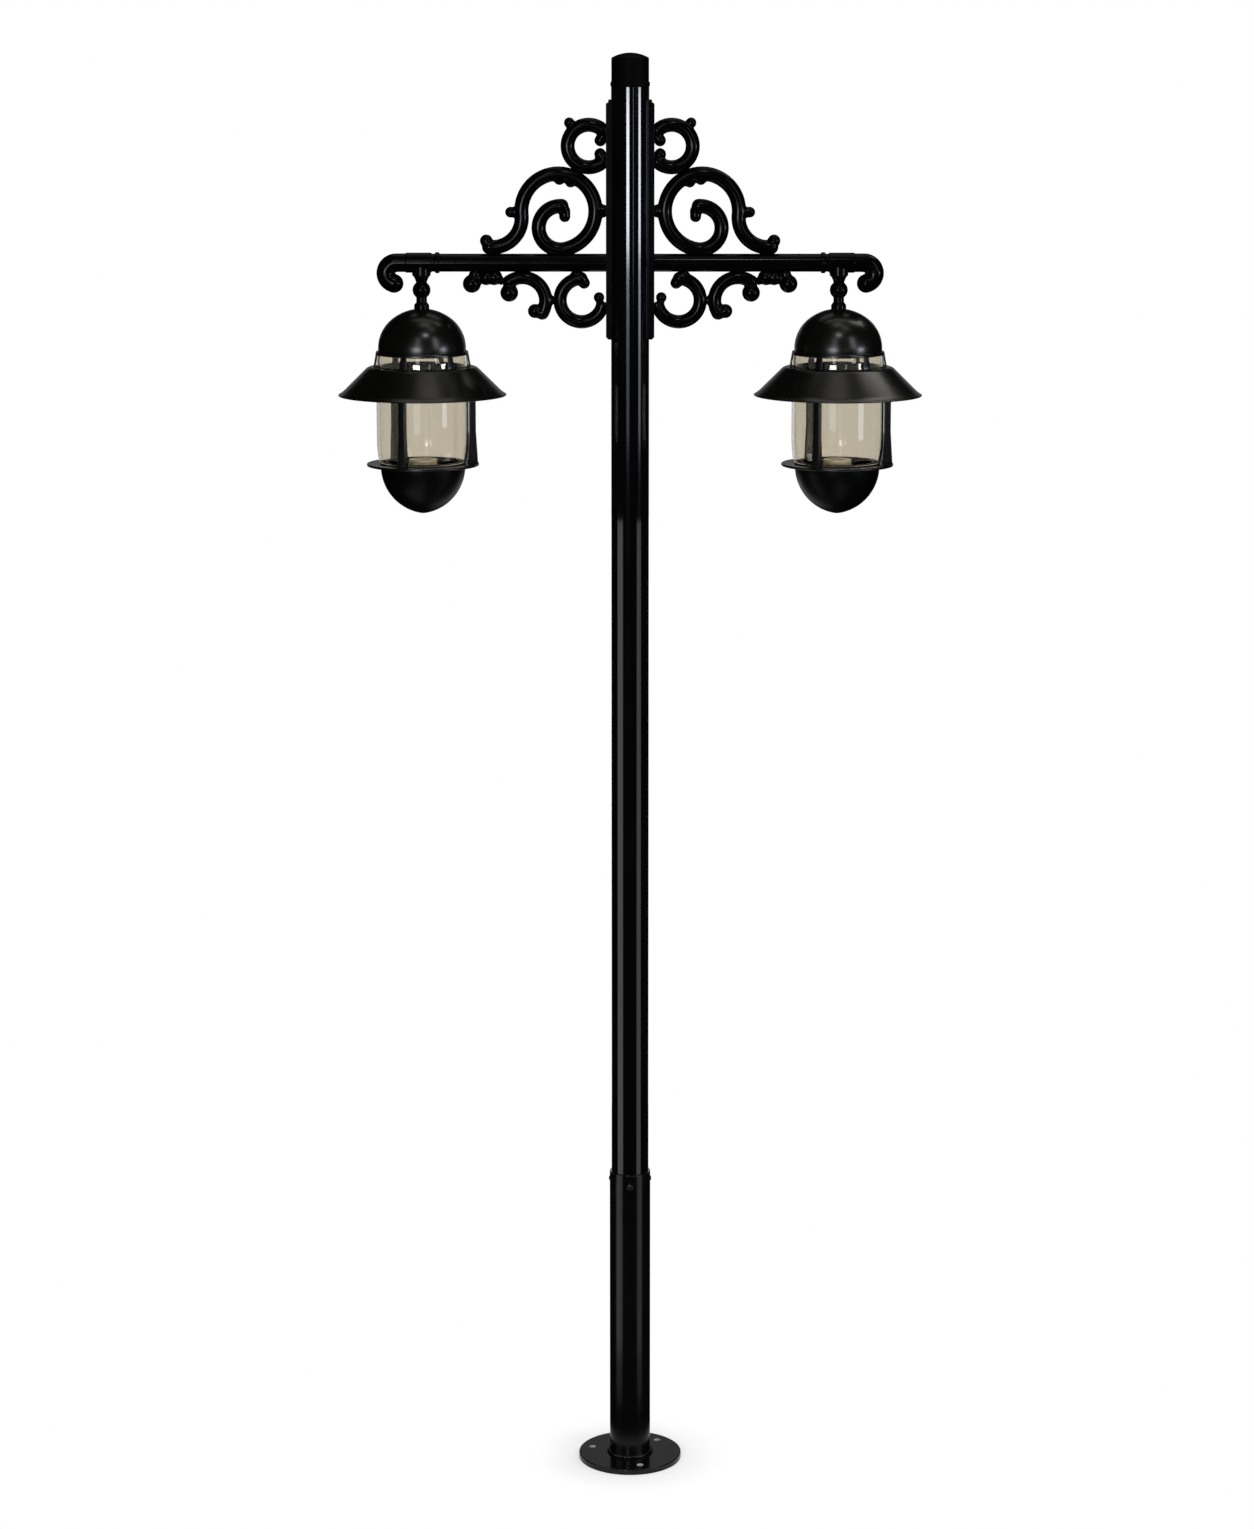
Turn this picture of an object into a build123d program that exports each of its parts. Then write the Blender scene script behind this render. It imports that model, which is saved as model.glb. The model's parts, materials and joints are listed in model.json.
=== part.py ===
from build123d import *
import os
from math import asin, cos, degrees, radians, sin, sqrt

# Twin-arm garden lamp post. Millimetres, +Z up, X along the arms.
# The origin is the centre of the base plate's underside.

# Base plate and socket
base_diameter = 178.0
base_thickness = 9.0
base_edge_round = 1.5
anchor_count = 3
anchor_circle = 136.0
anchor_hole = 11.0
anchor_first_angle = 45.0
cable_hole = 40.0
sleeve_wall = 3.0
sleeve_top = 520.0
sleeve_lip_round = 1.2
sleeve_clearance = 0.25
weld_leg = 4.0
seat_height = 12.0
seat_bore = 50.0
pole_engagement = 200.0
fit_gap = 0.05

# Clamp screws that hold the pole in the socket
clamp_count = 3
clamp_first_angle = 270.0
clamp_drop = 20.0
clamp_thread = 6.0
clamp_flats = 10.0
clamp_head = 4.5
clamp_tip_gap = 0.2

# Pole and its cap
pole_diameter = 63.5
pole_wall = 3.0
pole_above_saddle = 20.7
cap_rim_overhang = 1.0
cap_rim_height = 9.0
cap_step = 0.6
cap_body_height = 34.0
cap_crown_height = 13.0
cap_wall = 2.5
cap_plug_depth = 26.0
cap_plug_gap = 0.1
cap_rim_round = 2.5
cap_crown_round = 3.0
cap_crown_radius = 62.0

# Saddle bars on both sides of the pole
arm_height = 2087.3
saddle_width = 22.0
saddle_thickness = 8.5
saddle_above_arm = 269.0
saddle_below_arm = 127.3
saddle_end_step = 4.0
saddle_end_drop = 7.0
saddle_screw_inset = 15.0
saddle_screw_thread = 6.0
saddle_screw_head = 11.0
saddle_screw_cone = 3.0
wire_hole = 12.0

# Arms with their end fittings
arm_diameter = 30.0
arm_wall = 3.0
arm_end_gap = 5.0
lantern_reach = 347.7
lantern_turns = {"left": 9.9, "right": 3.3}
collar_diameter = 35.0
collar_width = 8.0
collar_gap = 5.0
collar_round = 2.5
tee_diameter = 33.4
tee_inner_run = 17.5
tee_outer_run = 26.5
tee_edge_round = 2.0
tee_branch_diameter = 31.0
tee_branch_drop = 21.3
tee_socket_depth = 10.0
curl_run = 15.5
curl_gap = 2.4
curl_turn = 168.0

# Turned stem between arm and lantern
stem_length = 56.0
stem_top_radius = 14.5
stem_neck_radius = 8.9
stem_cove_depth = 3.7
stem_ball_radius = 15.0
stem_ball_drop = 24.0
stem_bell_radius = 12.6
stem_bell_height = 7.0
stem_neck_height = 5.0
stem_thread = 10.0
stem_bore = 6.0
stem_spigot = 14.0
stem_tail = 14.0
nut_flats = 16.0
nut_height = 6.0
nut_flange_radius = 11.5
nut_flange_height = 1.5

# Scroll work beside the pole
scroll_bite = 2.5
light_bite = 1.25
tail_bite = 1.0
ball_swell = 0.3
s_bar = 23.2
s_gap = 5.7
s_radius = 61.6
s_tail_radius = 49.0
s_tail_end = 276.0
s_lower_radius = 64.5
s_inner_from = 258.0
s_inner_radius = 36.0
s_inner_to = 453.0
s_tip_in = 5.6
s_tip_drop = 17.2
s_tip_rise = 9.0
s_tip_radius = 9.2
s_knob_radius = 8.7
s_knob_reach = 18.0
s_knob_drop = 2.0
s_stub_radius = 10.0
s_bud_radius = 9.0
s_bud_sink = 2.0
s_bud_angles = (92.0, 113.0)
s_tail_knob_radius = 10.3
s_tail_knob_lift = 10.5
s_tail_knob_out = 5.0
c_bar = 22.6
c_radius = 35.0
c_reach = 28.5
c_half_sweep = 140.0
c_curl_from = 120.0
c_curl_turn = 110.0
c_curl_radii = (12.9, 10.4)
c_tip_radius = 9.6
c_knob_radius = 8.7
c_knob_angle = 50.0
c_knob_out = 3.6
lower_bar = 21.6
lower_c_radius = 36.0
lower_c_reach = 40.7
lower_c_gap = 0.5
lower_c_from = 88.0
lower_c_turn = 263.0
lower_c_tip_radius = 9.4
lower_c_tip_in = 5.6
lower_c_tip_drop = 7.3
lower_c_end_radius = 8.7
lower_c_end_in = 29.4
lower_c_end_angle = 171.0
lower_c_stub_radius = 8.0
lower_c_stub_out = 9.2
lower_s_radius = 38.6
lower_s_gap = 2.2
lower_s_from = 55.0
lower_s_to = 212.0
lower_s_volute_radius = 14.6
lower_s_volute_drop = 18.4
lower_s_end_radius = 11.5
lower_s_end_in = 26.8
lower_s_end_angle = 220.0
link_radius = 7.0
leaf_ball_radius = 14.8
leaf_ball_gap = 5.2
leaf_ball_reach = 223.5
leaf_neck_radius = 9.0
leaf_neck_shift = 5.0
leaf_bud_radii = (12.5, 13.0, 6.5)
leaf_bud_steps = (24.0, 37.5, 50.0)
leaf_bud_drop = 22.0

# Lantern, from its seat under the stem downwards
sheet = 2.0
dome_wall = 2.5
dome_height = 70.0
dome_pad_radius = 13.0
dome_crown_radius = 80.0
dome_shoulder_radius = 50.0
dome_rim_inset = 3.8
stem_play = 0.1
vent_height = 25.5
vent_top_gap = 3.0
vent_bottom_gap = 4.4
vent_wall = 2.5
vent_lip_height = 3.0
vent_lip_lap = 0.2
vent_count = 6
vent_upright = 12.0
vent_window_top = 5.0
vent_sill = 1.0
brim_flat_margin = 1.4
brim_cone_run = 43.4
brim_cone_drop = 43.0
brim_edge_run = 7.0
brim_edge_drop = 4.5
glass_diameter = 154.0
glass_wall = 4.0
glass_top_radius = 74.0
glass_foot_radius = 71.5
glass_neck = 44.0
brim_glass_gap = 1.2
gasket = 2.0
cage_height = 160.5
post_count = 3
post_gap = 1.6
post_depth = 10.6
post_width = 10.6
post_foot_depth = 17.0
post_foot_width = 12.7
post_foot_height = 53.0
flange_margin = 1.6
flange_thickness = 4.0
flange_land = 3.5
flange_edge_round = 1.2

# Bowl under the lantern with its lampholder
bowl_rim_inset = 0.5
bowl_depth = 81.0
bowl_arc_radius = 81.0
bowl_wall = 2.5
neck_gap = 0.5
neck_wall = 4.0
neck_rise = 8.0
seal_section = 3.0
seal_squeeze = 0.2
holder_top_lift = 7.0
holder_rim_radius = 24.0
holder_body_radius = 21.0
holder_rim_height = 12.0
holder_taper_height = 6.0
holder_height = 58.0
socket_bore = 27.0
socket_shell_wall = 1.0
socket_shell_height = 27.0
socket_lip = 4.0
shell_gap = 0.1
contact_radius = 5.0
contact_height = 4.0
holder_post_radius = 9.0

# Sizes that follow from the ones above
pole_radius = pole_diameter / 2
pole_inner = pole_radius - pole_wall
sleeve_inner = pole_radius + sleeve_clearance
sleeve_outer = sleeve_inner + sleeve_wall
pole_foot = sleeve_top - pole_engagement
clamp_z = sleeve_top - clamp_drop
saddle_face = pole_radius + saddle_thickness
saddle_top = arm_height + saddle_above_arm
saddle_bottom = arm_height - saddle_below_arm
pole_top = saddle_top + pole_above_saddle
saddle_screw_heights = (saddle_top - saddle_screw_inset, saddle_bottom + saddle_screw_inset)
arm_radius = arm_diameter / 2
arm_top = arm_height + arm_radius
arm_bottom = arm_height - arm_radius
arm_end = lantern_reach - stem_thread / 2 - arm_end_gap
tee_inner_face = lantern_reach - tee_inner_run
tee_outer_face = lantern_reach + tee_outer_run
stem_top = arm_height - tee_branch_drop
lantern_top = stem_top - stem_length
dome_rim = lantern_top - dome_height
brim_top = dome_rim - vent_height
brim_edge = brim_top - brim_cone_drop - brim_edge_drop
post_top = brim_top - sheet
flange_top = post_top - cage_height
flange_bottom = flange_top - flange_thickness
glass_top = dome_rim - vent_lip_height - gasket
glass_foot = flange_top + gasket
glass_radius = glass_diameter / 2
vent_top_radius = glass_top_radius + vent_top_gap
vent_bottom_radius = glass_radius + vent_bottom_gap
dome_rim_radius = vent_top_radius - dome_rim_inset
post_radius = glass_radius + post_gap + post_depth / 2
brim_flat_radius = post_radius + post_depth / 2 + brim_flat_margin
brim_cone_radius = brim_flat_radius + brim_cone_run
brim_edge_radius = brim_cone_radius + brim_edge_run
flange_radius = post_radius + post_foot_depth / 2 + flange_margin
flange_inner = glass_foot_radius - glass_wall - flange_land
bowl_rim_radius = glass_foot_radius - bowl_rim_inset
bowl_bottom = flange_bottom - bowl_depth
neck_radius = flange_inner - neck_gap
holder_top = flange_top + holder_top_lift
holder_foot = holder_top - holder_height
shell_radius = socket_bore / 2 + socket_shell_wall
shell_floor = holder_top - socket_lip - socket_shell_height
contact_foot = shell_floor - contact_height

upright = (Align.CENTER, Align.CENTER, Align.MIN)
sides = {"left": -1, "right": 1}


def save(name, shape):
    export_step(shape, f"parts/{name}.step")


def ring(outer, inner, bottom, top):
    return pillar(outer, 0, bottom, top) - pillar(inner, 0, bottom, top)


def rod(radius, start, end, height):
    return Pos(start, 0, height) * Rot(0, 90, 0) * Cylinder(radius, end - start, align=upright)


def pillar(radius, reach, bottom, top):
    return Pos(reach, 0, bottom) * Cylinder(radius, top - bottom, align=upright)


def polar(centre, radius, angle):
    return (centre[0] + radius * cos(radians(angle)), centre[1] + radius * sin(radians(angle)))


def ball(centre, radius):
    return Pos(centre[0], 0, centre[1]) * Sphere(radius)


def bent_bar(curves, radius):
    path = Plane.XZ * Wire(curves)
    section = Plane(origin=path @ 0, z_dir=path % 0) * Circle(radius)
    return sweep(section, path=path)


def spun(outline):
    return revolve(Plane.XZ * make_face(outline), Axis.Z)


def spun_sheet(line, wall, side):
    return spun(offset(line, amount=wall, side=side))


def radial_bar(angle, radius, height, shape):
    return Rot(0, 0, angle) * Pos(radius, 0, height) * Rot(0, 90, 0) * shape


def handed(shape, side):
    return shape if sides[side] > 0 else mirror(shape, about=Plane.YZ)


# Base
def base_flange():
    plate = pillar(base_diameter / 2, 0, 0, base_thickness)
    top_edge = plate.edges().filter_by(GeomType.CIRCLE).sort_by(Axis.Z)[-1]
    plate = fillet(top_edge, base_edge_round)
    plate -= pillar(cable_hole / 2, 0, 0, base_thickness)
    hole = pillar(anchor_hole / 2, anchor_circle / 2, 0, base_thickness)
    for i in range(anchor_count):
        plate -= Rot(0, 0, anchor_first_angle + i * 360 / anchor_count) * hole
    return plate


def clamp_angles():
    return [clamp_first_angle + i * 360 / clamp_count for i in range(clamp_count)]


def base_sleeve():
    tube = ring(sleeve_outer, sleeve_inner, base_thickness, sleeve_top)
    lip = tube.edges().filter_by(GeomType.CIRCLE).group_by(Axis.Z)[-1].sort_by(SortBy.RADIUS)[-1]
    tube = fillet(lip, sleeve_lip_round)
    weld = spun(Polyline(
        (sleeve_outer, base_thickness),
        (sleeve_outer + weld_leg, base_thickness),
        (sleeve_outer, base_thickness + weld_leg),
        close=True))
    tube += weld
    hole = Cylinder(clamp_thread / 2 + fit_gap, sleeve_outer, align=upright)
    for angle in clamp_angles():
        tube -= radial_bar(angle, pole_inner, clamp_z, hole)
    return tube


def pole_seat_ring():
    return ring(sleeve_inner - fit_gap, seat_bore / 2, pole_foot - seat_height, pole_foot)


def clamp_screws():
    tip = pole_radius + clamp_tip_gap
    shank = Cylinder(clamp_thread / 2, sleeve_outer - tip, align=upright)
    head = extrude(RegularPolygon(clamp_flats / 2, 6, major_radius=False), clamp_head)
    screw = shank + Pos(0, 0, sleeve_outer - tip) * head
    return [radial_bar(angle, tip, clamp_z, screw) for angle in clamp_angles()]


# Pole and cap
def pole_tube():
    tube = ring(pole_radius, pole_inner, pole_foot, pole_top)
    wire_way = rod(wire_hole / 2, -pole_diameter, pole_diameter, arm_height)
    tube -= wire_way
    for height in saddle_screw_heights:
        tube -= rod(saddle_screw_thread / 2 + fit_gap, -pole_diameter, pole_diameter, height)
    return tube


def pole_cap():
    rim = pole_radius + cap_rim_overhang
    body = pole_radius - cap_step
    rim_top = pole_top + cap_rim_height
    body_top = rim_top + cap_body_height
    crown_top = body_top + cap_crown_height
    cap = pillar(rim, 0, pole_top, rim_top)
    cap = fillet(cap.edges().filter_by(GeomType.CIRCLE), cap_rim_round)
    upper = pillar(body, 0, pole_top, crown_top) & ball((0, crown_top - cap_crown_radius), cap_crown_radius)
    shoulder = upper.edges().filter_by(lambda edge: edge.is_closed).sort_by(Axis.Z)[-1]
    cap += fillet(shoulder, cap_crown_round)
    plug = pole_inner - cap_plug_gap
    cap += pillar(plug, 0, pole_top - cap_plug_depth, pole_top)
    return cap - pillar(plug - cap_wall, 0, pole_top - cap_plug_depth, body_top)


# Bracket on one side of the pole, drawn on the +X side
def saddle_bar():
    chamfer_foot = saddle_face - saddle_end_step
    outline = Polyline(
        (0, saddle_bottom),
        (chamfer_foot, saddle_bottom),
        (saddle_face, saddle_bottom + saddle_end_step),
        (saddle_face, saddle_top - saddle_end_drop),
        (chamfer_foot, saddle_top - saddle_end_step),
        (chamfer_foot, saddle_top),
        (0, saddle_top),
        close=True)
    bar = extrude(Plane.XZ * make_face(outline), saddle_width / 2, both=True)
    bar -= pillar(pole_radius, 0, saddle_bottom, saddle_top)
    bar -= rod(wire_hole / 2, 0, saddle_face, arm_height)
    for height in saddle_screw_heights:
        bar -= saddle_screw(height, fit_gap)
    return bar


def saddle_screw(height, gap):
    shank = rod(saddle_screw_thread / 2 + gap, pole_inner, saddle_face, height)
    cone = Cone(saddle_screw_thread / 2 + gap, saddle_screw_head / 2 + gap, saddle_screw_cone, align=upright)
    return shank + Pos(saddle_face - saddle_screw_cone, 0, height) * Rot(0, 90, 0) * cone


def arm_tube():
    tube = rod(arm_radius, saddle_face, arm_end, arm_height)
    return tube - rod(arm_radius - arm_wall, saddle_face, arm_end, arm_height)


def arm_collar():
    end = tee_inner_face - collar_gap
    collar = rod(collar_diameter / 2, end - collar_width, end, arm_height)
    collar = fillet(collar.edges().filter_by(GeomType.CIRCLE), collar_round)
    return collar - rod(arm_radius + fit_gap, end - collar_width, end, arm_height)


def tee_fitting():
    run = rod(tee_diameter / 2, tee_inner_face, tee_outer_face, arm_height)
    run = fillet(run.edges().filter_by(GeomType.CIRCLE), tee_edge_round)
    tee = run + pillar(tee_branch_diameter / 2, lantern_reach, stem_top, arm_height)
    tee -= rod(arm_radius + fit_gap, tee_inner_face, tee_outer_face, arm_height)
    return tee - pillar(stem_thread / 2 + fit_gap, lantern_reach, stem_top, arm_height)


def end_scroll():
    start = (tee_outer_face - tee_socket_depth, arm_height)
    turn = (tee_outer_face + curl_run, arm_height)
    run = Line(start, turn)
    curl = JernArc(turn, (1, 0), arm_radius + curl_gap, -curl_turn)
    tip = curl @ 1
    return bent_bar([run, curl], arm_radius) + ball((tip.X, tip.Y), arm_radius + ball_swell)


def drop_stem():
    ball_z = stem_top - stem_ball_drop
    ball_half = sqrt(stem_ball_radius**2 - stem_neck_radius**2)
    bell_top = lantern_top + stem_bell_height
    neck_foot = bell_top + stem_neck_height
    cove_radius = stem_top_radius - stem_cove_depth
    spigot_radius = stem_thread / 2
    outline = Polyline(
        (stem_bore / 2, lantern_top - stem_tail),
        (stem_bore / 2, stem_top + stem_spigot),
        (spigot_radius, stem_top + stem_spigot),
        (spigot_radius, stem_top),
        (stem_top_radius, stem_top))
    outline += ThreePointArc(
        (stem_top_radius, stem_top),
        (cove_radius, (stem_top + ball_z + ball_half) / 2),
        (stem_neck_radius, ball_z + ball_half))
    outline += ThreePointArc(
        (stem_neck_radius, ball_z + ball_half),
        (stem_ball_radius, ball_z),
        (stem_neck_radius, ball_z - ball_half))
    outline += Polyline(
        (stem_neck_radius, ball_z - ball_half),
        (stem_neck_radius, neck_foot),
        (stem_bell_radius, bell_top),
        (stem_bell_radius, lantern_top),
        (spigot_radius, lantern_top),
        (spigot_radius, lantern_top - stem_tail),
        (stem_bore / 2, lantern_top - stem_tail))
    return Pos(lantern_reach, 0, 0) * spun(outline)


def stem_nut():
    top = lantern_top - dome_wall
    hex_body = extrude(RegularPolygon(nut_flats / 2, 6, major_radius=False), nut_height)
    nut = Pos(0, 0, top - nut_height) * hex_body
    nut += pillar(nut_flange_radius, 0, top - nut_flange_height, top)
    nut -= pillar(stem_thread / 2 + fit_gap, 0, top - nut_height, top)
    return Pos(lantern_reach, 0, 0) * nut


# Scrolls of one bracket, drawn in the plane of the arms
s_centre = (
    saddle_face + s_gap + s_bar / 2 + s_radius,
    arm_top - scroll_bite + s_bar / 2 + s_radius)
c_centre_reach = saddle_face + c_reach
c_distance = s_radius + s_bar / 2 + c_radius + c_bar / 2 - light_bite
c_centre = (c_centre_reach, s_centre[1] + sqrt(c_distance**2 - (s_centre[0] - c_centre_reach)**2))
lower_c_centre = (saddle_face + lower_c_reach, arm_bottom - lower_c_gap - lower_bar / 2 - lower_c_radius)
lower_s_centre = (
    lower_c_centre[0] + lower_c_radius + lower_bar + lower_s_gap + lower_s_radius,
    arm_bottom + light_bite - lower_bar / 2 - lower_s_radius)


def arm_stock():
    return rod(arm_radius, saddle_face, lantern_reach, arm_height)


def saddle_stock():
    size = saddle_above_arm + saddle_below_arm
    return Pos(saddle_face, 0, saddle_bottom) * Box(size, size, size, align=(Align.MAX, Align.CENTER, Align.MIN))


def s_scroll():
    bends = s_radius + s_tail_radius
    inflect = degrees(asin((scroll_bite - tail_bite - s_radius + s_tail_radius) / bends))
    tail_centre = polar(s_centre, bends, inflect)
    tail_end = polar(tail_centre, s_tail_radius, s_tail_end)
    tail = CenterArc(tail_centre, s_tail_radius, s_tail_end, 180 + inflect - s_tail_end)
    arch = CenterArc(s_centre, s_radius, inflect, 180 - inflect)
    lower_centre = (s_centre[0] + s_lower_radius - s_radius, s_centre[1])
    lower = CenterArc(lower_centre, s_lower_radius, 180, s_inner_from - 180)
    inner_centre = polar(lower_centre, s_lower_radius - s_inner_radius, s_inner_from)
    inner = CenterArc(inner_centre, s_inner_radius, s_inner_from, s_inner_to - s_inner_from)
    shoulder = polar(inner_centre, s_inner_radius, s_inner_to)
    scroll = bent_bar([tail, arch, lower, inner], s_bar / 2)
    scroll += ball(tail_end, s_bar / 2 + ball_swell)
    tail_knob = (tail_end[0] + s_tail_knob_out, tail_end[1] + s_tail_knob_lift)
    scroll += ball(tail_knob, s_tail_knob_radius)
    scroll += ball(shoulder, s_bar / 2 + ball_swell)
    tip = (shoulder[0] - s_tip_in, shoulder[1] - s_tip_drop)
    scroll += pillar(s_tip_radius - ball_swell, tip[0], tip[1], tip[1] + s_tip_rise)
    scroll += ball(tip, s_tip_radius) + ball((tip[0], tip[1] + s_tip_rise), s_tip_radius)
    knob = (s_centre[0] + s_radius + s_knob_reach, s_centre[1] - s_knob_drop)
    scroll += rod(s_knob_radius - ball_swell, knob[0] - s_knob_reach, knob[0], knob[1])
    scroll += ball(knob, s_knob_radius)
    scroll += rod(s_stub_radius, saddle_face, s_centre[0] - s_radius, s_centre[1])
    for angle in s_bud_angles:
        scroll += ball(polar(s_centre, s_radius - s_bar / 2 + s_bud_sink, angle), s_bud_radius)
    return scroll - arm_stock()


def upper_c_scroll():
    ring_arc = CenterArc(c_centre, c_radius, -c_half_sweep, 2 * c_half_sweep)
    scroll = bent_bar([ring_arc], c_bar / 2)
    for way, curl_radius in zip((1, -1), c_curl_radii):
        curl_centre = polar(c_centre, c_radius - curl_radius, way * c_curl_from)
        curl = CenterArc(curl_centre, curl_radius, way * c_curl_from, way * c_curl_turn)
        scroll += bent_bar([curl], c_tip_radius - ball_swell)
        scroll += ball(polar(curl_centre, curl_radius, way * (c_curl_from + c_curl_turn)), c_tip_radius)
    scroll += ball(polar(c_centre, c_radius + c_bar / 2 + c_knob_out, c_knob_angle), c_knob_radius)
    return scroll - saddle_stock() - s_scroll()


def lower_c_scroll():
    arc = CenterArc(lower_c_centre, lower_c_radius, lower_c_from, -lower_c_turn)
    scroll = bent_bar([arc], lower_bar / 2)
    start = polar(lower_c_centre, lower_c_radius, lower_c_from)
    scroll += ball(start, lower_bar / 2 + ball_swell)
    scroll += ball((start[0] - lower_c_tip_in, start[1] - lower_c_tip_drop), lower_c_tip_radius)
    scroll += ball(polar(lower_c_centre, lower_c_end_in, lower_c_end_angle), lower_c_end_radius)
    stub_reach = lower_c_centre[0] + lower_c_stub_out
    scroll += pillar(lower_c_stub_radius, stub_reach, lower_c_centre[1] + lower_c_radius, arm_height)
    return scroll - saddle_stock() - arm_stock()


def lower_s_scroll():
    arc = CenterArc(lower_s_centre, lower_s_radius, lower_s_from, lower_s_to - lower_s_from)
    scroll = bent_bar([arc], lower_bar / 2)
    start = polar(lower_s_centre, lower_s_radius, lower_s_from)
    end = polar(lower_s_centre, lower_s_radius, lower_s_to)
    scroll += ball(start, lower_bar / 2 + ball_swell)
    scroll += ball((start[0], start[1] - lower_s_volute_drop), lower_s_volute_radius)
    scroll += ball(end, lower_bar / 2 + ball_swell)
    scroll += ball(polar(lower_s_centre, lower_s_end_in, lower_s_end_angle), lower_s_end_radius)
    link_start = lower_c_centre[0] + lower_c_radius
    scroll += rod(link_radius, link_start, lower_s_centre[0] - lower_s_radius, lower_c_centre[1])
    return scroll - arm_stock() - lower_c_scroll()


def leaf_scroll():
    centre = (saddle_face + leaf_ball_reach, arm_bottom - leaf_ball_gap - leaf_ball_radius)
    leaf = ball(centre, leaf_ball_radius)
    leaf += pillar(leaf_neck_radius, centre[0] - leaf_neck_shift, centre[1], arm_height)
    for radius, step in zip(leaf_bud_radii, leaf_bud_steps):
        leaf += ball((centre[0] - step, arm_bottom - leaf_bud_drop + radius), radius)
    return leaf - arm_stock() - lower_s_scroll()


# Lantern, drawn on its own axis
def dome():
    crown_centre = lantern_top - sqrt(dome_crown_radius**2 - dome_pad_radius**2)
    shoulder_z = crown_centre + sqrt(dome_crown_radius**2 - dome_shoulder_radius**2)
    bore = stem_thread / 2 + stem_play
    pad = Line((bore, lantern_top), (dome_pad_radius, lantern_top))
    pad_angle = degrees(asin(sqrt(1 - (dome_pad_radius / dome_crown_radius) ** 2)))
    shoulder_angle = degrees(asin(sqrt(1 - (dome_shoulder_radius / dome_crown_radius) ** 2)))
    crown = CenterArc((0, crown_centre), dome_crown_radius, pad_angle, shoulder_angle - pad_angle)
    side = TangentArc((dome_shoulder_radius, shoulder_z), (dome_rim_radius, dome_rim), tangent=crown % 1)
    return spun_sheet(Wire([pad, crown, side]), dome_wall, Side.RIGHT)


def vent_band():
    slope = (vent_bottom_radius - vent_top_radius) / vent_height
    lip_inner = dome_rim_radius - dome_wall - vent_lip_lap
    lip_foot = dome_rim - vent_lip_height
    band = spun(Polyline(
        (lip_inner, dome_rim),
        (vent_top_radius, dome_rim),
        (vent_bottom_radius, brim_top),
        (vent_bottom_radius - vent_wall, brim_top),
        (vent_top_radius - vent_wall + slope * vent_lip_height, lip_foot),
        (lip_inner, lip_foot),
        close=True))
    window_top = dome_rim - vent_window_top
    window_foot = brim_top + vent_sill
    pitch = 360 / vent_count
    middle = vent_bottom_radius - vent_wall / 2
    chord = 2 * middle * sin(radians(pitch / 2)) - vent_upright
    window = Box(vent_bottom_radius, chord, window_top - window_foot, align=(Align.MIN, Align.CENTER, Align.MIN))
    for i in range(vent_count):
        band -= Rot(0, 0, (i + 0.5) * pitch) * Pos(0, 0, window_foot) * window
    return band


def brim():
    inner = glass_radius + brim_glass_gap
    cone_foot = brim_top - brim_cone_drop
    line = Polyline(
        (inner, brim_top),
        (brim_flat_radius, brim_top),
        (brim_cone_radius, cone_foot),
        (brim_edge_radius, brim_edge))
    return spun_sheet(line, sheet, Side.RIGHT)


def cage_posts():
    foot = Pos(0, 0, flange_top) * Rectangle(post_foot_depth, post_foot_width)
    waist = Pos(0, 0, flange_top + post_foot_height) * Rectangle(post_depth, post_width)
    shaft = extrude(waist, post_top - flange_top - post_foot_height)
    post = loft([foot, waist]) + shaft
    pitch = 360 / post_count
    return [Rot(0, 0, i * pitch) * Pos(post_radius, 0, 0) * post for i in range(post_count)]


def glass():
    line = Polyline(
        (glass_foot_radius, glass_foot),
        (glass_radius, glass_foot + glass_neck),
        (glass_radius, glass_top - glass_neck),
        (glass_top_radius, glass_top))
    inner = Polyline(
        (glass_top_radius - glass_wall, glass_top),
        (glass_radius - glass_wall, glass_top - glass_neck),
        (glass_radius - glass_wall, glass_foot + glass_neck),
        (glass_foot_radius - glass_wall, glass_foot))
    return spun(line + Line(line @ 1, inner @ 0) + inner + Line(inner @ 1, line @ 0))


def glass_gaskets():
    upper = ring(glass_top_radius, glass_top_radius - glass_wall, glass_top, glass_top + gasket)
    lower = ring(glass_foot_radius, glass_foot_radius - glass_wall, flange_top, glass_foot)
    return [upper, lower]


def flange_ring():
    plate = pillar(flange_radius, 0, flange_bottom, flange_top)
    plate = fillet(plate.edges().filter_by(GeomType.CIRCLE), flange_edge_round)
    return plate - pillar(flange_inner, 0, flange_bottom, flange_top)


# Bowl with the lampholder that comes away with it
def bowl_profile(inset):
    rim = (bowl_rim_radius - inset, flange_bottom)
    foot = (0, bowl_bottom + inset)
    wall = RadiusArc(foot, rim, inset - bowl_arc_radius)
    return spun(wall + Polyline(rim, (0, flange_bottom), foot))


def bowl():
    shell = bowl_profile(0) - bowl_profile(bowl_wall)
    neck_inner = neck_radius - neck_wall
    neck_top = flange_bottom + neck_rise
    rim_foot = flange_bottom - bowl_wall
    shell += ring(bowl_rim_radius - bowl_wall / 2, neck_inner, rim_foot, flange_bottom)
    shell += ring(neck_radius, neck_inner, rim_foot, neck_top)
    return shell - seal_ring(neck_radius)


def seal_ring(outer):
    middle = (flange_top + flange_bottom) / 2
    return ring(outer, neck_radius - seal_section / 2, middle - seal_section / 2, middle + seal_section / 2)


def bowl_seal():
    return seal_ring(flange_inner - seal_squeeze)


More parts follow.
